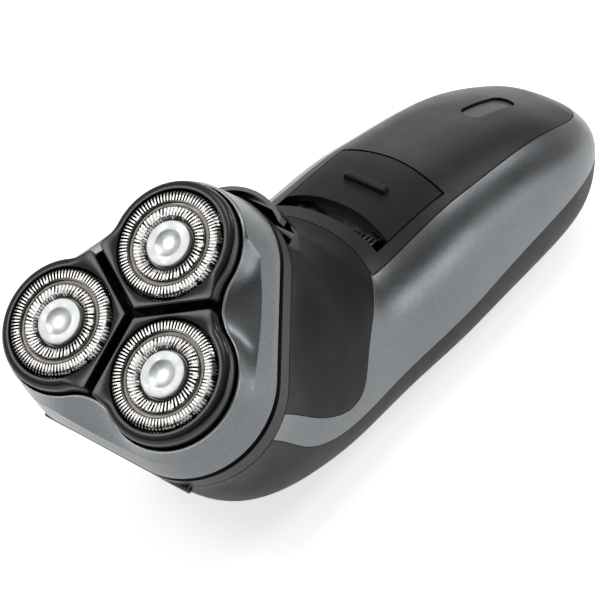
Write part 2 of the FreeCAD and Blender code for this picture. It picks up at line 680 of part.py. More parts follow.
def release_form(floor, grow=0.0):
    """The release button's outer form in the head's frame, down to a floor."""
    middle, radius = RELEASE_ARCH
    front, back = RELEASE_SIDE[0], RELEASE_SIDE[-1]
    side = [(floor, front[1] + grow), (front[0] + grow, front[1] + grow)]
    side += [(t + grow, z) for t, z in RELEASE_SIDE[1:-1]]
    side += [(back[0] + grow, back[1] - grow), (floor, back[1] - grow)]
    block = wedge_x(side, RELEASE_HALF + grow)
    return block.common(cylinder(radius + grow, back[1] - grow - 1, front[1] + grow + 1, 0, middle))


def make_release_button():
    """A body that dips through the neck, with a thin arch that reaches over the collar."""
    middle, radius = RELEASE_ARCH
    arch = cylinder(radius - RELEASE_SHEET, RELEASE_UNDER[0][1], -18.0, 0, middle)
    low, high = RELEASE_FLOOR - 1, RELEASE_STEP
    under = wedge_x(((low, RELEASE_UNDER[0][1]),) + RELEASE_UNDER + ((low, high),), 20.0)
    front = box((-20, low, RELEASE_UNDER[0][1]), (20, 31.8, -18.0))
    button = release_form(RELEASE_FLOOR).cut(arch).cut(under).cut(front)
    return to_handle(keep_largest(button))


def release_opening():
    """The hole in the neck that the button's body moves in."""
    behind = box((-20, RELEASE_HOLE_FLOOR - 1, -60.0), (20, 50.0, RELEASE_STEP + RUN))
    return to_handle(release_form(RELEASE_HOLE_FLOOR, RUN).common(behind))


SOCKET_Z = -45.0           # charging socket's axis below the cutting face's middle
SOCKET_BORE = 2.75
SOCKET_PIN = 1.0
SOCKET_PIN_ROOT = 0.8      # the pin is thinner where it stands in the socket's floor
SOCKET_FLOOR = 144.5


def socket_axis(radius, low, high):
    """A cylinder on the charging socket's axis, which runs along the handle."""
    return Part.makeCylinder(radius, high - low, Vector(0, low, SOCKET_Z), Vector(0, 1, 0))


def make_casing():
    """All outer casing pieces of the handle, cut from one shell."""
    outer = handle_body(0.0)
    shell = outer.cut(handle_body(WALL))
    panel_low = -39.0
    panel_cut = prism(front_panel_plan(SEAM), panel_low - SEAM, 10)
    panel = shell.common(prism(front_panel_plan(), panel_low, 10))
    neck = shell.common(neck_side()).cut(panel_cut)
    lower = shell.common(lower_side())
    sides = shell.cut(panel_cut).cut(neck_side(SEAM)).cut(lower_side(SEAM))
    return outer, panel, neck, lower, sides


def half(shape, side):
    low = SEAM / 2 if side > 0 else -60
    high = 60 if side > 0 else -SEAM / 2
    return keep_largest(shape.common(box((low, -60, -120), (high, 260, 60))))


def make_front_panel(panel):
    side, rear = FLAP_HALF + 0.2, FLAP_HINGE[0]
    panel = panel.cut(prism(arch_plan(side, POCKET_FRONT, (rear, rear + 0.1)), -38, 10))
    panel = panel.cut(flap_barrel(RUN - 0.05))
    slot = slot_plan(BUTTON_LENGTH + 2 * RUN, BUTTON_WIDTH + 2 * RUN, BUTTON_MIDDLE)
    return keep_largest(panel.cut(prism(slot, -38, 10)))


def make_flap(outer):
    """The pop-up trimmer's lid: it follows the handle's crown and has a finger ridge."""
    plan = prism(arch_plan(FLAP_HALF - 0.1, FLAP_FRONT, FLAP_REAR), -30, 10)
    skin = plan.common(outer).cut(handle_body(FLAP_THICKNESS))
    beyond = box((-20, FLAP_HINGE[0], -30), (20, FLAP_HINGE[0] + 10, 0))
    skin = keep_largest(skin.cut(beyond.cut(flap_barrel())))
    crown = -AXIS_DROP + 24.9
    ridge = box((-5.5, 77.2, crown - 1.2), (5.5, 79.2, crown + 1.1))
    ridge = ridge.makeFillet(0.5, [edge for edge in ridge.Edges if edge.BoundBox.ZMin > crown])
    carrier = box((-11.5, 69.9, TRIMMER_TOP), (11.5, 72.6, -18.2))
    whole = skin.fuse(ridge).fuse(carrier)
    for middle in (-FLAP_EYE, FLAP_EYE):
        whole = whole.fuse(make_flap_eye(middle))
    return whole


def make_flap_eye(middle):
    """One hinge eye under the flap, on a short web that reaches into the flap's skin."""
    y, z = FLAP_HINGE
    eye = bar_x(1.5, middle - 1.2, middle + 1.2, y, z)
    web = box((middle - 1.2, y - 1.2, z), (middle + 1.2, y + 1.2, z + 2.4))
    return eye.fuse(web).removeSplitter().cut(bar_x(FLAP_PIN_RADIUS + PIVOT_CLEARANCE, -15, 15, y, z))


def make_trimmer_well():
    """The tub under the trimmer, open at the top, with ears for the hinge pin."""
    outside = box((-15.4, 61.9, -27.6), (15.4, 93.2, -10))
    inside = box((-14.5, 62.8, -26.6), (14.5, 92.3, -5))
    tub = outside.cut(inside)
    y, z = FLAP_HINGE
    ears = []
    for middle in (-7.3, 7.3):
        ears.append(box((middle - 0.8, y - 1.4, -26.8), (middle + 0.8, y + 1.4, z)))
        ears.append(bar_x(1.4, middle - 0.8, middle + 0.8, y, z))
    tub = join([tub] + ears).common(handle_body(WALL + 0.15))
    return keep_largest(tub.cut(bar_x(FLAP_PIN_RADIUS, -12, 12, *FLAP_HINGE)))


def toothed_strip(half_width, front, rear, low, high, pitch):
    """A flat strip with a row of teeth along its front edge."""
    strip = box((-half_width, front + 2.2, low), (half_width, rear, high))
    count = int(2 * (half_width - 0.5) / pitch)
    start = -count * pitch / 2
    pieces = [strip]
    for step in range(count + 1):
        x = start + step * pitch
        pieces.append(box((x - pitch * 0.28, front, low), (x + pitch * 0.28, front + 2.4, high)))
    return join(pieces)


def make_trimmer_comb():
    return toothed_strip(11.5, 65.6, 73.0, TRIMMER_TOP - 0.7, TRIMMER_TOP, 1.25)


def make_trimmer_blade():
    """The moving blade, which slides across under the comb."""
    high = TRIMMER_TOP - 0.75
    return toothed_strip(10.2, 66.0, 72.4, high - 0.6, high, 1.25)


def make_chassis():
    """The inner frame that holds the cells and the circuit board."""
    floor = box((-15.2, 74.0, -55.2), (15.2, 140.0, -53.8))
    walls = [box((x - 0.7, 74.0, -53.8), (x + 0.7, 140.0, -38.0)) for x in (-15.6 + 1.1, 15.6 - 1.1)]
    ends = [box((-15.2, y, -53.8), (15.2, y + 1.4, -38.0)) for y in (74.0, 138.6)]
    posts = [box((x - 1.2, y - 1.2, -38.0), (x + 1.2, y + 1.2, -31.6))
             for x in (-13.6, 13.6) for y in (76.0, 120.0)]
    frame = join([floor] + walls + ends + posts)
    return frame.common(handle_body(WALL + 0.3))


CELL_RADIUS = 6.7
CELL_X = 6.95
CELL_Y = (78.2, 132.2)
CELL_Z = -46.9


def make_cell(side):
    low, high = CELL_Y
    body = Part.makeCylinder(CELL_RADIUS, high - low - 1.4, Vector(side * CELL_X, low, CELL_Z),
                             Vector(0, 1, 0))
    nub = Part.makeCylinder(2.6, 1.4, Vector(side * CELL_X, high - 1.4, CELL_Z), Vector(0, 1, 0))
    return join([body, nub])


def make_cell_contacts():
    """Sheet springs at both ends of the cells."""
    plates = []
    for side in (-1, 1):
        x = side * CELL_X
        plates.append(box((x - 4.0, CELL_Y[0] - 0.5, CELL_Z - 4.0), (x + 4.0, CELL_Y[0], CELL_Z + 8.0)))
        plates.append(box((x - 4.0, CELL_Y[1], CELL_Z - 4.0), (x + 4.0, CELL_Y[1] + 0.5, CELL_Z + 8.0)))
    return Part.makeCompound(plates)


BOARD_Z = -31.6


def make_board():
    board = box((-14.6, 74.5, BOARD_Z), (14.6, 133.0, BOARD_Z + 1.2))
    return board.common(handle_body(WALL + 0.5))


def make_board_parts():
    """The larger components on the circuit board: two capacitors, a coil and a chip."""
    low = BOARD_Z + 1.2
    parts = [cylinder(2.5, low, low + 5.0, x, 98.0) for x in (-6.0, 0.5)]
    parts.append(tube(4.0, 1.6, low, low + 3.2, 7.5, 99.0))
    parts.append(box((-4.0, 104.5, low), (4.0, 110.5, low + 1.4)))
    return Part.makeCompound(parts)


def make_power_switch():
    low = BOARD_Z + 1.2
    return join([box((-3.0, BUTTON_MIDDLE - 3.0, low), (3.0, BUTTON_MIDDLE + 3.0, low + 3.2)),
                 cylinder(1.4, low + 3.2, low + 4.0, 0, BUTTON_MIDDLE)])


def make_power_button():
    """The long key in the front panel: its top follows the panel, a little below it."""
    plan = prism(slot_plan(BUTTON_LENGTH, BUTTON_WIDTH, BUTTON_MIDDLE), -38, 10)
    top = handle_body(0.7)
    inner = handle_body(WALL + 0.3)
    key = top.cut(inner).common(plan)
    low = BOARD_Z + 1.2 + 4.0 + 0.9
    stem = cylinder(1.5, low, -20.0, 0, BUTTON_MIDDLE).common(handle_body(0.9))
    skirt = prism(slot_plan(BUTTON_LENGTH + 2.6, BUTTON_WIDTH + 2.6, BUTTON_MIDDLE), -38, 10)
    flange = handle_body(WALL + 0.25).cut(handle_body(WALL + 1.0)).common(skirt)
    return join([key, flange, stem])


def make_charge_lights():
    """Two small lights on the board, behind the panel."""
    low = BOARD_Z + 1.2
    return Part.makeCompound([cylinder(1.2, low, low + 3.0, x, 115.0) for x in (-3.0, 3.0)])


def make_socket_body():
    """The round charging socket in the tail."""
    body = socket_axis(4.6, 142.5, TAIL + 4.0).common(handle_body(0.4))
    body = body.cut(socket_axis(SOCKET_BORE, SOCKET_FLOOR, TAIL + 5.0))
    return body.cut(socket_axis(SOCKET_PIN_ROOT, SOCKET_FLOOR - 4.0, SOCKET_FLOOR + 1.0))


def make_socket_pin():
    return join([socket_axis(SOCKET_PIN_ROOT, SOCKET_FLOOR - 2.0, SOCKET_FLOOR),
                 socket_axis(SOCKET_PIN, SOCKET_FLOOR, SOCKET_FLOOR + 7.9)])


def main():
    os.makedirs("parts", exist_ok=True)
    outer, panel, neck, lower, sides = make_casing()

    # head
    export("head_bezel", place_head(make_bezel()))
    export("head_collar", place_head(make_collar()))
    export("retaining_plate", place_head(make_retaining_plate()))
    export("lock_knob", place_head(make_lock_knob()))
    export("petal_springs", place_head(make_petal_springs()))
    for number, station in enumerate(STATIONS_120, 1):
        spot = polar(FOIL_CIRCLE, station)
        export("petal_%d" % number, place_head(make_petal(station)))
        for name, shape in (("foil", make_foil()), ("foil_cap", make_foil_cap()), ("cutter", make_cutter()),
                            ("drive_gear", make_drive_gear(station)),
                            ("drive_spindle", make_drive_spindle())):
            shape.translate(spot)
            export("%s_%d" % (name, number), place_head(shape))

    # drive
    export("drive_deck", place_head(make_deck()))
    export("gear_plate", place_head(make_gear_plate()))
    export("motor_pinion", place_head(make_pinion()))
    export("motor_shaft", place_head(make_motor_shaft()))
    export("motor", place_head(make_motor()))
    export("motor_bracket", place_head(make_motor_bracket()))
    pins = [hinge_eye((DECK_EYE[0] + 0.4, COLLAR_EYE[1] - 0.4), HINGE_PIN_RADIUS, side) for side in (-1, 1)]
    export("head_hinge_pins", place_head(Part.makeCompound(pins)))
    export("deck_screws", place_head(make_deck_screws()))

    # casing
    neck = keep_largest(neck.cut(release_opening()))
    relief = to_handle(hinge_relief())
    lower = lower.cut(socket_axis(4.7, 140.0, TAIL + 5.0)).cut(relief)
    export("neck_cover", place_handle(neck))
    export("front_panel", place_handle(make_front_panel(panel)))
    export("rear_shell", place_handle(keep_largest(lower)))
    export("side_panel_right", place_handle(half(sides, 1).cut(socket_axis(4.7, 140.0, TAIL + 5.0))))
    export("side_panel_left", place_handle(half(sides, -1).cut(socket_axis(4.7, 140.0, TAIL + 5.0))))

    # buttons, trimmer and inside
    export("release_button", place_handle(make_release_button()))
    export("power_button", place_handle(make_power_button()))
    export("trimmer_flap", place_handle(make_flap(outer)))
    export("trimmer_comb", place_handle(make_trimmer_comb()))
    export("trimmer_blade", place_handle(make_trimmer_blade()))
    export("trimmer_well", place_handle(make_trimmer_well()))
    export("trimmer_hinge_pin", place_handle(bar_x(FLAP_PIN_RADIUS, -11.2, 11.2, *FLAP_HINGE)))
    export("chassis", place_handle(make_chassis()))
    export("cell_left", place_handle(make_cell(-1)))
    export("cell_right", place_handle(make_cell(1)))
    export("cell_contacts", place_handle(make_cell_contacts()))
    export("circuit_board", place_handle(make_board()))
    export("board_parts", place_handle(make_board_parts()))
    export("power_switch", place_handle(make_power_switch()))
    export("charge_lights", place_handle(make_charge_lights()))
    export("charging_socket", place_handle(make_socket_body()))
    export("socket_pin", place_handle(make_socket_pin()))


main()
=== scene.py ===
"""Looks of the rotary electric shaver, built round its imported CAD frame.

Everything is in metres in the frame's own axes: +Z up, the head towards -Y, the tail towards
+Y. Pieces of the head are drawn lying flat, in millimetres, in the head's own frame (middle of
the cutting face as origin, +Z out of the face) and HEAD puts them in place.
"""
import json
import math
import bmesh
import bpy
from mathutils import Matrix, Vector


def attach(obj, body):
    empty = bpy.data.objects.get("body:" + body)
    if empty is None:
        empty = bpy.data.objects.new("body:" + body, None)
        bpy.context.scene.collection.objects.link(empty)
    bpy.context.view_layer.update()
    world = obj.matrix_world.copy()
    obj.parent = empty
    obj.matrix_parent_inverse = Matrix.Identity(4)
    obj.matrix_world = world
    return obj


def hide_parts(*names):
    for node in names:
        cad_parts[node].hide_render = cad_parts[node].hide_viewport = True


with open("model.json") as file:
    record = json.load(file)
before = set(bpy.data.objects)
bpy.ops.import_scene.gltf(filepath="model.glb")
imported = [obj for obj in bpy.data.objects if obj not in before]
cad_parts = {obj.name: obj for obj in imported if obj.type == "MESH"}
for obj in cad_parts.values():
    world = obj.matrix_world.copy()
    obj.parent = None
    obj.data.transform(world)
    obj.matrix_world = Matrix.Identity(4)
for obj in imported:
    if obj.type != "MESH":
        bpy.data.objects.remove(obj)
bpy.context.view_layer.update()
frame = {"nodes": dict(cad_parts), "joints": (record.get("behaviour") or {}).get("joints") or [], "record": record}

MM = 0.001
STATIONS = (90.0, 210.0, 330.0)      # directions of the three cutting rings on the face

# ---------------------------------------------------------------- the head's frame
JOINTS = {joint["name"]: joint for joint in frame["joints"]}
SPINS = [JOINTS["cutter_%d_spin" % number] for number in (1, 2, 3)]
NORMAL = Vector(SPINS[0]["axis"]).normalized()
CUTTER_DEPTH = 3.0                   # the cutters' joints lie this far behind the cutting face
FORWARD = NORMAL * CUTTER_DEPTH * MM
FACE_CENTRE = sum((Vector(spin["pos_m"]) for spin in SPINS), Vector()) / 3 + FORWARD
FOIL_CIRCLE = (Vector(SPINS[0]["pos_m"]) - FACE_CENTRE + FORWARD).length / MM


def head_matrix():
    """From the head's own millimetres into the frame's metres."""
    across = Vector((1, 0, 0))
    height = NORMAL.cross(across)
    turn = Matrix((across, height, NORMAL)).transposed().to_4x4()
    return Matrix.Translation(FACE_CENTRE) @ turn @ Matrix.Scale(MM, 4)


HEAD = head_matrix()


def polar(radius, degrees):
    angle = math.radians(degrees)
    return Vector((radius * math.cos(angle), radius * math.sin(angle), 0.0))


def mix(low, high, share):
    return low + (high - low) * share


def smooth_step(value, start, end):
    """Rises softly from 0 at start to 1 at end."""
    share = min(max((value - start) / (end - start), 0.0), 1.0)
    return share * share * (3 - 2 * share)


# ---------------------------------------------------------------- mesh helpers
WELD = 0.002               # points closer than this become one (mm)


def rounds(rows, name, finishes, finish_of=None, skip=None, thickness=0.0):
    """A skin through closed rows of points of equal length, drawn in the head's frame.

    finish_of(row) gives the finish of the faces after a row, skip(row, column) leaves a face
    out, and thickness (mm) makes the skin into a flat-shaded sheet.
    """
    mesh = bmesh.new()
    grid = [[mesh.verts.new(point) for point in row] for row in rows]
    columns = len(rows[0])
    for row in range(len(rows) - 1):
        for column in range(columns):
            if skip and skip(row, column):
                continue
            beside = (column + 1) % columns
            face = mesh.faces.new((grid[row][column], grid[row][beside],
                                   grid[row + 1][beside], grid[row + 1][column]))
            face.smooth = not thickness
            face.material_index = finish_of(row) if finish_of else 0
    loose = [vertex for vertex in mesh.verts if not vertex.link_faces]
    bmesh.ops.delete(mesh, geom=loose, context="VERTS")
    bmesh.ops.remove_doubles(mesh, verts=mesh.verts, dist=WELD)
    bmesh.ops.recalc_face_normals(mesh, faces=mesh.faces)
    if thickness:
        bmesh.ops.solidify(mesh, geom=mesh.faces[:], thickness=thickness)
    mesh.transform(HEAD)
    data = bpy.data.meshes.new(name)
    mesh.to_mesh(data)
    mesh.free()
    for finish in finishes:
        data.materials.append(MATERIALS[finish])
    piece = bpy.data.objects.new(name, data)
    bpy.context.scene.collection.objects.link(piece)
    return piece


def ring_rows(profile, centre, columns, slant=None):
    """Circles about a spot on the face, one for each (radius, height), turned on by a slant."""
    rows = []
    for radius, height in profile:
        turn = slant(radius) if slant else 0.0
        rows.append([centre + polar(radius, 360.0 * step / columns + turn) + Vector((0, 0, height))
                     for step in range(columns)])
    return rows


# ---------------------------------------------------------------- materials
def blank_material(name, metallic=0.0, roughness=0.5, specular=0.5):
    material = bpy.data.materials.new(name)
    material.use_nodes = True
    shader = material.node_tree.nodes["Principled BSDF"]
    shader.inputs["Metallic"].default_value = metallic
    shader.inputs["Roughness"].default_value = roughness
    shader.inputs["Specular IOR Level"].default_value = specular
    return material, shader


def noise(material, scale, detail=2.0, stretch=(1, 1, 1)):
    """Noise that stands still on the piece, with `scale` features in a metre."""
    nodes, links = material.node_tree.nodes, material.node_tree.links
    place = nodes.new("ShaderNodeTexCoord")
    mapping = nodes.new("ShaderNodeMapping")
    mapping.inputs["Scale"].default_value = stretch
    texture = nodes.new("ShaderNodeTexNoise")
    texture.inputs["Scale"].default_value = scale
    texture.inputs["Detail"].default_value = detail
    links.new(place.outputs["Object"], mapping.inputs["Vector"])
    links.new(mapping.outputs["Vector"], texture.inputs["Vector"])
    return texture.outputs["Fac"]


def spread(material, value, low, high, start=0.3, end=0.7):
    """Maps noise onto the range low..high."""
    node = material.node_tree.nodes.new("ShaderNodeMapRange")
    node.inputs["From Min"].default_value = start
    node.inputs["From Max"].default_value = end
    node.inputs["To Min"].default_value = low
    node.inputs["To Max"].default_value = high
    material.node_tree.links.new(value, node.inputs["Value"])
    return node.outputs["Result"]


def ramp(material, value, stops):
    node = material.node_tree.nodes.new("ShaderNodeValToRGB")
    elements = node.color_ramp.elements
    while len(elements) < len(stops):
        elements.new(0.5)
    for element, (position, colour) in zip(elements, stops):
        element.position = position
        element.color = (*colour, 1.0)
    material.node_tree.links.new(value, node.inputs["Fac"])
    return node.outputs["Color"]


def bump(material, shader, value, depth, strength=1.0):
    """Surface relief of `depth` metres from a value."""
    node = material.node_tree.nodes.new("ShaderNodeBump")
    node.inputs["Strength"].default_value = strength
    node.inputs["Distance"].default_value = depth
    material.node_tree.links.new(value, node.inputs["Height"])
    material.node_tree.links.new(node.outputs["Normal"], shader.inputs["Normal"])


def shade(colour, factor):
    """A colour made darker or lighter."""
    return tuple(channel * factor for channel in colour)


def plastic(name, colour, roughness, grain=4200.0, depth=0.00001, mottle=0.12, specular=0.3):
    """Moulded plastic: fine texture from the mould, slightly uneven colour and gloss."""
    material, shader = blank_material(name, specular=specular)
    links = material.node_tree.links
    cloud = noise(material, 160.0, 4.0)
    stops = (0.3, shade(colour, 1 - mottle)), (0.7, shade(colour, 1 + mottle))
    links.new(ramp(material, cloud, stops), shader.inputs["Base Color"])
    links.new(spread(material, cloud, roughness * 0.9, roughness * 1.1), shader.inputs["Roughness"])
    bump(material, shader, noise(material, grain, 3.0), depth)
    return material


def metallic_paint(name, tone=1.0):
    """Gunmetal paint with fine bright flakes; a tone above 1 makes a lighter copy of it, a painted highlight."""
    material, shader = blank_material(name, metallic=0.88)
    links = material.node_tree.links
    dark, middle, bright = (shade(colour, tone) for colour in PAINT)
    flakes = noise(material, 7800.0, 1.0)
    stops = (0.3, dark), (0.52, middle), (0.74, bright)
    links.new(ramp(material, flakes, stops), shader.inputs["Base Color"])
    links.new(spread(material, noise(material, 90.0, 3.0), 0.3, 0.36), shader.inputs["Roughness"])
    bump(material, shader, noise(material, 6500.0, 1.0), 0.000005)
    return material


def steel(name, colour, roughness, grain=3500.0):
    """Bright metal: slightly uneven colour and gloss from wear, and a fine grain."""
    material, shader = blank_material(name, metallic=1.0)
    links = material.node_tree.links
    wear = noise(material, 420.0, 5.0)
    stops = (0.3, shade(colour, 0.85)), (0.7, colour)
    links.new(ramp(material, wear, stops), shader.inputs["Base Color"])
    links.new(spread(material, wear, roughness * 0.75, roughness * 1.25), shader.inputs["Roughness"])
    bump(material, shader, noise(material, grain, 3.0), 0.000004)
    return material


PAINT = ((0.1, 0.106, 0.112), (0.14, 0.15, 0.157), (0.25, 0.262, 0.27))      # dark, middle, flake

MATERIALS = {
    "metallic_paint": metallic_paint("metallic_paint"),
    # a lighter copy of the paint: a painted highlight along the bezel's lip
    "lip_highlight_paint": metallic_paint("lip_highlight_paint", 2.2),
    "shell_grey": plastic("shell_grey", (0.012, 0.0112, 0.0135), 0.5, specular=0.18),
    "front_black": plastic("front_black", (0.013, 0.0117, 0.0122), 0.4, specular=0.25),
    "neck_black": plastic("neck_black", (0.0055, 0.0052, 0.006), 0.5, specular=0.16),
    "flap_black": plastic("flap_black", (0.008, 0.0077, 0.0095), 0.48, specular=0.2),
    "collar_grey": plastic("collar_grey", (0.022, 0.02, 0.023), 0.45),
    "gloss_black": plastic("gloss_black", (0.004, 0.004, 0.0044), 0.2, depth=0.000002),
    "petal_black": plastic("petal_black", (0.004, 0.004, 0.0043), 0.26, specular=0.4),
    "button_grey": plastic("button_grey", (0.07, 0.066, 0.068), 0.4),
    "inner_black": plastic("inner_black", (0.012, 0.012, 0.013), 0.5),
    "inner_grey": plastic("inner_grey", (0.09, 0.09, 0.095), 0.5),
    "foil_steel": steel("foil_steel", (0.27, 0.262, 0.25), 0.2),
    "foil_groove": steel("foil_groove", (0.2, 0.185, 0.17), 0.4),
    "cap_silver": steel("cap_silver", (0.84, 0.86, 0.86), 0.6),
    "cap_polish": steel("cap_polish", (0.72, 0.74, 0.75), 0.36),
    "steel": steel("steel", (0.3, 0.295, 0.29), 0.3),
    "motor_can": steel("motor_can", (0.5, 0.5, 0.5), 0.35),
    "nylon": plastic("nylon", (0.28, 0.27, 0.24), 0.45),
    "nylon_white": plastic("nylon_white", (0.62, 0.61, 0.57), 0.42),
    "cell_wrap": plastic("cell_wrap", (0.05, 0.16, 0.1), 0.3),
    "board_green": plastic("board_green", (0.02, 0.11, 0.05), 0.4),
    "light_lens": plastic("light_lens", (0.5, 0.14, 0.08), 0.2),
}


def dress_nodes():
    """Gives every CAD node the finish that its record slot names."""
    slots = {entry["node"]: entry["material_slot"] for entry in frame["record"]["subparts"]}
    for name, node in frame["nodes"].items():
        node.data.materials.clear()
        node.data.materials.append(MATERIALS[slots[name]])


# ---------------------------------------------------------------- camera, floor and light
CAMERA_LENS = 150.0
CAMERA_PLACE = (274.703, -273.586, 319.904)      # from the middle of the cutting face (mm)
CAMERA_FORWARD = (-0.49605, 0.59044, -0.63664)
CAMERA_UP = (-0.37317, 0.51707, 0.77031)
FLOOR_REACH = 4.0
WINDOW_SIDE = (-0.74, 0.1, 0.66)     # the side of the studio that the soft light comes from
# name, place, what it points at, width and height, power
LAMPS = (
    ("face", (-0.56, -0.54, 0.84), (0, -0.06, 0.05), (0.36, 0.36), 2.2),
    ("key", (-0.6, 0.95, 0.5), (0, 0, 0.03), (0.7, 0.5), 1.6),
    ("top", (-0.2, 0.1, 1.2), (0, 0, 0.03), (0.6, 0.6), 3.5),
    ("side", (1.0, 0.72, 0.16), (0, 0, 0.03), (0.7, 0.35), 2.2),
    ("rim", (0.3, 0.9, 0.75), (0, -0.06, 0.05), (0.3, 0.3), 2.0),
)


def look(position, forward, up):
    """The matrix of a camera or lamp that looks forward from a place."""
    side = forward.cross(up).normalized()
    above = side.cross(forward)
    turn = Matrix((side, above, -forward)).transposed().to_4x4()
    return Matrix.Translation(position) @ turn


def add_camera():
    camera = bpy.data.objects.new("camera", bpy.data.cameras.new("camera"))
    bpy.context.scene.collection.objects.link(camera)
    camera.data.lens = CAMERA_LENS
    camera.data.clip_start = 0.01
    position = FACE_CENTRE + Vector(CAMERA_PLACE) * MM
    camera.matrix_world = look(position, Vector(CAMERA_FORWARD).normalized(), Vector(CAMERA_UP))
    bpy.context.scene.camera = camera


def add_floor():
    mesh = bpy.data.meshes.new("floor")
    reach = FLOOR_REACH
    corners = [(-reach, -reach, 0), (reach, -reach, 0), (reach, reach, 0), (-reach, reach, 0)]
    mesh.from_pydata(corners, [], [(0, 1, 2, 3)])
    floor = bpy.data.objects.new("floor", mesh)
    bpy.context.scene.collection.objects.link(floor)
    material, shader = blank_material("floor_white", roughness=0.7, specular=0.2)
    shader.inputs["Base Color"].default_value = (0.9, 0.9, 0.9, 1)
    shader.inputs["Emission Color"].default_value = (1, 1, 1, 1)
    shader.inputs["Emission Strength"].default_value = 0.7
    mesh.materials.append(material)


def add_light(name, position, aim, size, power):
    data = bpy.data.lights.new(name, "AREA")
    data.shape = "ELLIPSE"
    data.size, data.size_y = size
    data.energy = power
    lamp = bpy.data.objects.new(name, data)
    bpy.context.scene.collection.objects.link(lamp)
    forward = (Vector(aim) - Vector(position)).normalized()
    lamp.matrix_world = look(Vector(position), forward, Vector((0, 0, 1)))


def add_lights():
    """A studio that is bright on one side and dark on the other, and soft lamps."""
    world = bpy.data.worlds.new("studio")
    world.use_nodes = True
    nodes, links = world.node_tree.nodes, world.node_tree.links
    place = nodes.new("ShaderNodeTexCoord")
    toward = nodes.new("ShaderNodeVectorMath")
    toward.operation = "DOT_PRODUCT"
    toward.inputs[1].default_value = WINDOW_SIDE
    share = nodes.new("ShaderNodeMapRange")
    share.inputs["From Min"].default_value = -0.3
    share.inputs["From Max"].default_value = 0.9
    share.inputs["To Min"].default_value = 0.04
    share.inputs["To Max"].default_value = 0.6
    links.new(place.outputs["Generated"], toward.inputs[0])
    links.new(toward.outputs["Value"], share.inputs["Value"])
    links.new(share.outputs["Result"], nodes["Background"].inputs["Strength"])
    nodes["Background"].inputs["Color"].default_value = (1, 1, 1, 1)
    bpy.context.scene.world = world
    for lamp in LAMPS:
        add_light(*lamp)
    bpy.context.scene.view_settings.view_transform = "Standard"


# ---------------------------------------------------------------- cutting rings
# (radius, height) of the thin steel cap, from its skirt over the outer track into the groove
FOIL_RIM = (
    (11.6, -4.6), (11.6, -2.3), (11.58, -1.1), (11.45, -0.55), (11.2, -0.2), (10.85, -0.03),
    (10.4, 0.0), (9.35, 0.0), (9.15, -0.03), (9.0, -0.14), (8.92, -0.34), (8.88, -0.62), (8.5, -0.66))
RIM_SLOTS = 90
RIM_SLOT_ROWS = range(1, 8)
RIM_GROOVE_ROWS = range(10, 12)      # rows of the dull groove between the two tracks
# and from the groove over the inner track to the cap in the middle
FOIL_TRACK = (
    (8.5, -0.66), (8.24, -0.62), (8.18, -0.32), (8.08, -0.16), (7.9, -0.08), (7.75, -0.06),
    (6.7, -0.06), (6.05, -0.12), (5.75, -0.3), (5.55, -0.62), (5.42, -1.0), (5.2, -1.2), (4.7, -1.25))
TRACK_SLOTS = 56
TRACK_SLOT_ROWS = range(3, 10)
TRACK_GROOVE_ROWS = (0, 1, 9, 10, 11)
TRACK_SLANT = 3.5          # degrees that a slot of the inner track turns along its length
TRACK_EDGE = 7.75          # the slant starts here and takes this much of the radius:
TRACK_WIDTH = 2.0
SHEET = 0.14               # thickness of the slotted steel
# (radius, height) of the disc in the middle, with a polished dimple
CAP = (
    (4.85, -1.0), (4.85, -0.12), (4.82, -0.03), (4.75, 0.03), (4.6, 0.07), (4.0, 0.1), (3.3, 0.12),
    (3.0, 0.12), (2.88, 0.07), (2.7, -0.02), (2.3, -0.18), (1.7, -0.34), (1.0, -0.45), (0.4, -0.49),
    (0.05, -0.495))
CAP_STEPS = 96
DIMPLE_ROW = 8             # the polished dimple starts at this row of the cap
STEPS_PER_SLOT = 5         # steps round the ring for a slot and the bar beside it
OPEN_STEPS = 3             # of these, the steps that are open


def is_slot(rows):
    """Tells the open faces of a ring whose slots run through these rows."""
    return lambda row, column: row in rows and column % STEPS_PER_SLOT < OPEN_STEPS


def add_ring(number, station):
    """A cutting ring of slotted sheet steel with two raised tracks, and its cap."""
    centre = polar(FOIL_CIRCLE, station)
    body = "ring_%d" % number
    rim = rounds(ring_rows(FOIL_RIM, centre, RIM_SLOTS * STEPS_PER_SLOT), "foil_rim_%d" % number,
                 ("foil_steel", "foil_groove"), lambda row: int(row in RIM_GROOVE_ROWS),
                 is_slot(RIM_SLOT_ROWS), SHEET)
    track = rounds(ring_rows(FOIL_TRACK, centre, TRACK_SLOTS * STEPS_PER_SLOT,
                             lambda radius: TRACK_SLANT * (TRACK_EDGE - radius) / TRACK_WIDTH),
                   "foil_track_%d" % number, ("foil_steel", "foil_groove"),
                   lambda row: int(row in TRACK_GROOVE_ROWS), is_slot(TRACK_SLOT_ROWS), SHEET)
    cap = rounds(ring_rows(CAP, centre, CAP_STEPS), "foil_disc_%d" % number,
                 ("cap_silver", "cap_polish"), lambda row: int(row >= DIMPLE_ROW))
    for piece in (rim, track, cap):
        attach(piece, body)
    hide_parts("foil_%d" % number)
    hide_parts("foil_cap_%d" % number)


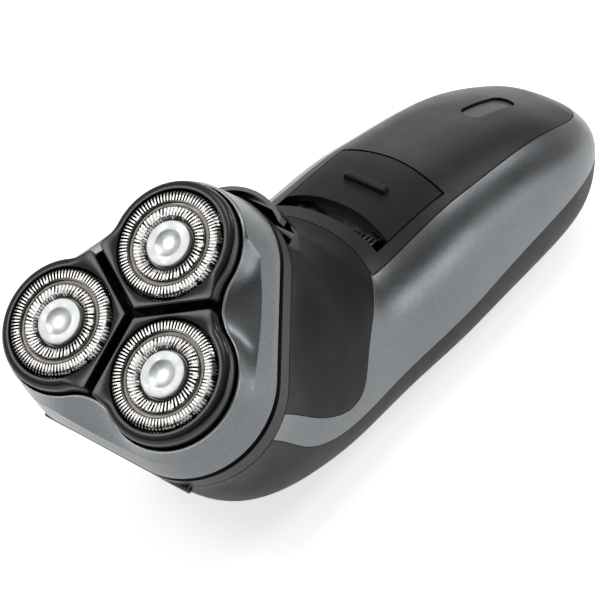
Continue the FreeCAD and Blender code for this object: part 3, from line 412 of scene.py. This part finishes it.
# ---------------------------------------------------------------- petals
LOBE_RADIUS = 14.5         # clover opening in the bezel: one lobe round each ring
WAIST_DISTANCE = 29.36     # arcs between the lobes: their middles, from the head's middle
WAIST_RADIUS = 10.96
WAIST_START = 93.0         # bearing from the ring's middle where a waist takes over from the lobe
GROOVE_BEARING = 150.0     # bearing at which the petal's straight side faces its neighbour
PETAL_GAP = 0.95           # half of the groove between two petals
PETAL_PLAY = 0.35          # gap between a petal and the bezel
PETAL_SOFTNESS = 0.4       # rounding of the petal's corners
PETAL_FLOOR = -6.0
PETAL_TOP = -0.6
PETAL_SLOPE = 0.16         # fall of the petal's top from the ring to the head's outside
SEAT_RADIUS = 11.95        # hole for the ring
PETAL_STEPS = 180
SHOULDER_STEPS = 10
SHOULDER_ROUND = (0.4, 1.4)      # radius of the shoulder along the grooves and on the outside
OUTER_END, INNER_START = 92.0, 112.0     # bearings between which the shoulder changes
NEVER = 60.0               # a reach that is out of play


def petal_reach(bearing):
    """From the middle of the ring to the petal's edge, at a bearing from the head's corner."""
    lobe, waist = LOBE_RADIUS - PETAL_PLAY, WAIST_RADIUS + PETAL_PLAY
    turn = abs((bearing + 180.0) % 360.0 - 180.0)
    side = math.cos(math.radians(turn - GROOVE_BEARING))
    groove = (FOIL_CIRCLE * math.sin(math.radians(60)) - PETAL_GAP) / max(side, 0.05)
    edge = lobe
    past = math.radians(turn - WAIST_START)
    if past > 0:
        span = lobe + waist
        inside = waist ** 2 - (span * math.sin(past)) ** 2
        edge = span * math.cos(past) - math.sqrt(inside) if inside > 0 and past < 1.0 else NEVER
    soft = PETAL_SOFTNESS
    return -soft * math.log(math.exp(-groove / soft) + math.exp(-edge / soft))


def petal_profile(bearing):
    """(radius, height) points from the ring's hole over the shoulder and back under the petal."""
    reach = petal_reach(bearing)
    width = reach - SEAT_RADIUS
    turn = abs((bearing + 180.0) % 360.0 - 180.0)
    soft = 1.0 - smooth_step(turn, OUTER_END, INNER_START)
    round_off = min(mix(*SHOULDER_ROUND, soft), 0.75 * width)
    drop = round_off * 0.95
    slope = PETAL_TOP - PETAL_SLOPE * soft * (width - round_off)
    profile = [(SEAT_RADIUS, PETAL_FLOOR), (SEAT_RADIUS, PETAL_TOP - 0.25),
               (SEAT_RADIUS + 0.06, PETAL_TOP - 0.06), (SEAT_RADIUS + 0.16, PETAL_TOP)]
    for part in range(SHOULDER_STEPS):
        angle = math.radians(90.0 * part / (SHOULDER_STEPS - 1))
        profile.append((reach - round_off + round_off * math.sin(angle),
                        slope - drop * (1 - math.cos(angle))))
    return profile + [(reach, PETAL_FLOOR + 0.4), (reach - 0.1, PETAL_FLOOR), (SEAT_RADIUS, PETAL_FLOOR)]


def add_petal(number, station):
    """A petal with a softly rounded shoulder round its cutting ring."""
    centre = polar(FOIL_CIRCLE, station)
    spokes = []
    for step in range(PETAL_STEPS):
        bearing = 360.0 * step / PETAL_STEPS
        spokes.append([centre + polar(radius, station + bearing) + Vector((0, 0, height))
                       for radius, height in petal_profile(bearing)])
    piece = rounds(list(zip(*spokes)), "petal_skin_%d" % number, ("petal_black",))
    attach(piece, "petal_%d" % number)
    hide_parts("petal_%d" % number)


# ---------------------------------------------------------------- bezel
TOP_CORNER = 90.0          # direction of the head's top corner
BEZEL_BACK = -16.0
BEZEL_FRONT = -4.3
BACK_CORNER = 14.1         # outline at the back: middle of its corner arcs from the head's middle
BACK_RADIUS = 18.8         # and their radius
FRONT_CORNER = 15.77       # the same at the front
FRONT_RADIUS = 15.3
LOBE_END = 43.5            # half of the angle that a lobe of the opening takes
BEZEL_STEPS = 720
BEZEL_WALL = 1.7
OPENING_FLOOR = -7.0       # the wall of the opening goes down to here
CREASE = -10.1             # the crease between the scooped front and the side band
CREASE_TOP = -9.5          # it rises a little before the top corner
CREASE_BULGE = 1.35        # and halfway along the lower side


def off_corner(degrees):
    """Angle from the nearest corner of the head."""
    return abs((degrees - TOP_CORNER + 60.0) % 120.0 - 60.0)


def outline_radius(degrees, height):
    """Distance from the head's middle to the bezel's tapered outline."""
    share = (height - BEZEL_BACK) / (BEZEL_FRONT - BEZEL_BACK)
    corner, radius = mix(BACK_CORNER, FRONT_CORNER, share), mix(BACK_RADIUS, FRONT_RADIUS, share)
    turn = off_corner(degrees)
    flat = math.radians(60.0 - turn)
    distance = corner / 2 + radius
    if distance * math.tan(flat) <= corner * math.sin(math.radians(60)):
        return distance / math.cos(flat)
    across = corner * math.sin(math.radians(turn))
    return corner * math.cos(math.radians(turn)) + math.sqrt(radius ** 2 - across ** 2)


def opening_radius(degrees):
    """Distance from the head's middle to the edge of the clover opening."""
    turn = math.radians(off_corner(degrees))
    if turn <= math.radians(LOBE_END):
        across = FOIL_CIRCLE * math.sin(turn)
        return FOIL_CIRCLE * math.cos(turn) + math.sqrt(LOBE_RADIUS ** 2 - across ** 2)
    off = math.radians(60) - turn
    across = WAIST_DISTANCE * math.sin(off)
    return WAIST_DISTANCE * math.cos(off) - math.sqrt(WAIST_RADIUS ** 2 - across ** 2)


def crease_height(degrees):
    """Where the scooped front of the bezel meets its side band.

    The crease runs round the head but for the top corner, where it rises to the lip.
    """
    turn = abs((degrees - TOP_CORNER + 180.0) % 360.0 - 180.0)
    if turn < 60.0:
        low = mix(CREASE, CREASE_TOP, smooth_step(60.0 - turn, 8.0, 26.0))
        return mix(low, BEZEL_FRONT - 0.5, smooth_step(60.0 - turn, 25.5, 34.0))
    bulge = smooth_step(turn, 60.0, 100.0) * (1.0 - smooth_step(turn, 140.0, 180.0))
    return CREASE + CREASE_BULGE * bulge


LIP_WIDTH = 0.56
# the rounded lip round the opening: (share of its width, height above the bezel's front)
LIP = (
    (0.0, -0.42), (0.06, -0.16), (0.22, -0.02), (0.45, 0.04), (0.7, -0.02), (0.9, -0.16), (1.0, -0.3))
LIP_HIGHLIGHT_ROWS = range(2, len(LIP))    # rows of the bezel's skin that get the lighter paint, a painted highlight along the lip
SCOOP_SHARES = (0.06, 0.14, 0.25, 0.37, 0.5, 0.62, 0.74, 0.86, 0.955, 0.995)
SCOOP_SAG = 0.07           # hollow of the scoop, as a share of its depth
BAND_SHARES = (0.01, 0.04, 0.25, 0.6, 0.95)


def bezel_profile(degrees):
    """(radius, height) points from the opening over lip, scoop and side band to the back."""
    opening, crease = opening_radius(degrees), crease_height(degrees)
    edge = outline_radius(degrees, crease)
    lip = min(LIP_WIDTH, (edge - opening) * 0.8)
    profile = [(opening, OPENING_FLOOR)]
    profile += [(opening + lip * share, BEZEL_FRONT + height) for share, height in LIP]
    start = BEZEL_FRONT + LIP[-1][1]
    depth = start - crease
    for share in SCOOP_SHARES:
        radius = mix(opening + lip, edge, share)
        profile.append((radius, start - depth * share - SCOOP_SAG * depth * math.sin(math.pi * share)))
    for share in BAND_SHARES:
        height = mix(crease, BEZEL_BACK, share)
        profile.append((outline_radius(degrees, height), height))
    back = outline_radius(degrees, BEZEL_BACK)
    profile += [(back - 0.08, BEZEL_BACK + 0.06), (back - 0.3, BEZEL_BACK),
                (back - BEZEL_WALL, BEZEL_BACK), (back - BEZEL_WALL - 0.3, BEZEL_BACK + 2.0)]
    return profile


def add_bezel():
    """The painted casing round the opening, with a hollow between each two lobes."""
    spokes = []
    for step in range(BEZEL_STEPS):
        degrees = 360.0 * step / BEZEL_STEPS
        spokes.append([polar(radius, degrees) + Vector((0, 0, height))
                       for radius, height in bezel_profile(degrees)])
    # the lip's rows get the lighter paint, a painted highlight
    piece = rounds(list(zip(*spokes)), "bezel_skin", ("metallic_paint", "lip_highlight_paint"),
                   lambda row: int(row in LIP_HIGHLIGHT_ROWS))
    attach(piece, "head")
    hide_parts("head_bezel")


dress_nodes()
for ring_number, ring_station in enumerate(STATIONS, 1):
    add_ring(ring_number, ring_station)
    add_petal(ring_number, ring_station)
add_bezel()
add_camera()
add_floor()
add_lights()
